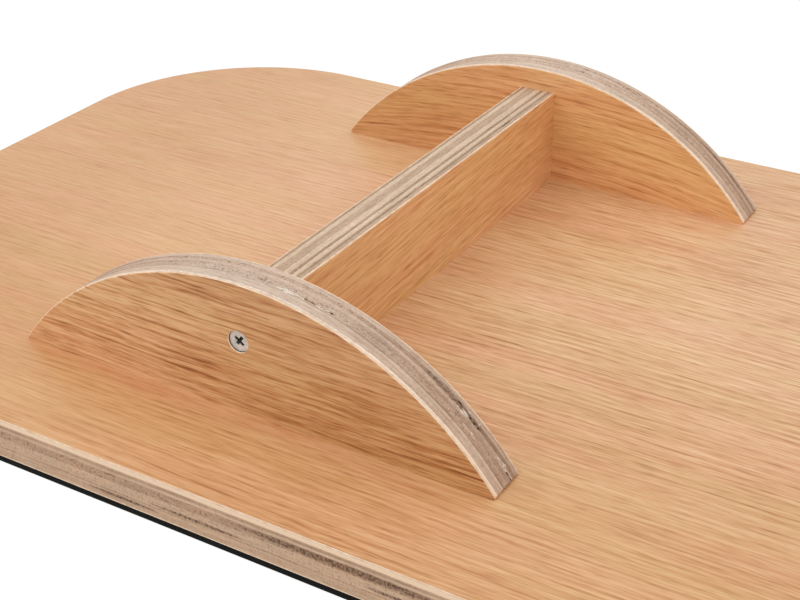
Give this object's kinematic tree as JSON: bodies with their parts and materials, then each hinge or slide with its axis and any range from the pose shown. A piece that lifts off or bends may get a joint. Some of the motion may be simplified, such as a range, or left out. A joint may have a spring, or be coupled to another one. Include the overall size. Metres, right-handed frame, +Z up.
{
  "type": "seesaw",
  "caption": "Rocker balance board: a rounded plywood deck with an anti-slip mat, on two curved rockers joined by a crossbar.",
  "frame": {"origin": "centre of the anti-slip standing face, which is the lowest face here because the board is stored lying on it", "axes": "+Z up from the standing face through the deck to the crowns of the rockers, +X along the rockers (the way the board rocks, and the deck's long side), +Y from the near rocker to the far one along the crossbar. In use the board is turned over, half a turn about X, and stands on its rockers."},
  "size_m": [0.56, 0.4, 0.0845],
  "materials": {
    "plywood": "sawn birch plywood edge, clear sealed",
    "oak_laminate": "satin light-oak decor laminate",
    "anti_slip_rubber": "matt pimpled rubber",
    "zinc_steel": "satin zinc plate",
    "beech": "raw fluted beech"
  },
  "bodies": {
    "root": {"anti_slip_mat": "anti_slip_rubber", "deck_topside_laminate": "oak_laminate", "deck_core": "plywood", "deck_underside_laminate": "oak_laminate", "crossbar_core": "plywood", "crossbar_left_laminate": "oak_laminate", "crossbar_right_laminate": "oak_laminate", "near_rocker_core": "plywood", "near_rocker_outer_laminate": "oak_laminate", "near_rocker_inner_laminate": "oak_laminate", "near_crossbar_screw": "zinc_steel", "near_crossbar_dowel": "beech", "near_rocker_screw_1": "zinc_steel", "near_rocker_screw_2": "zinc_steel", "near_rocker_screw_3": "zinc_steel", "near_rocker_screw_4": "zinc_steel", "crossbar_deck_screw_near": "zinc_steel", "far_rocker_core": "plywood", "far_rocker_outer_laminate": "oak_laminate", "far_rocker_inner_laminate": "oak_laminate", "far_crossbar_screw": "zinc_steel", "far_crossbar_dowel": "beech", "far_rocker_screw_1": "zinc_steel", "far_rocker_screw_2": "zinc_steel", "far_rocker_screw_3": "zinc_steel", "far_rocker_screw_4": "zinc_steel", "crossbar_deck_screw_far": "zinc_steel"}
  },
  "joints": []
}
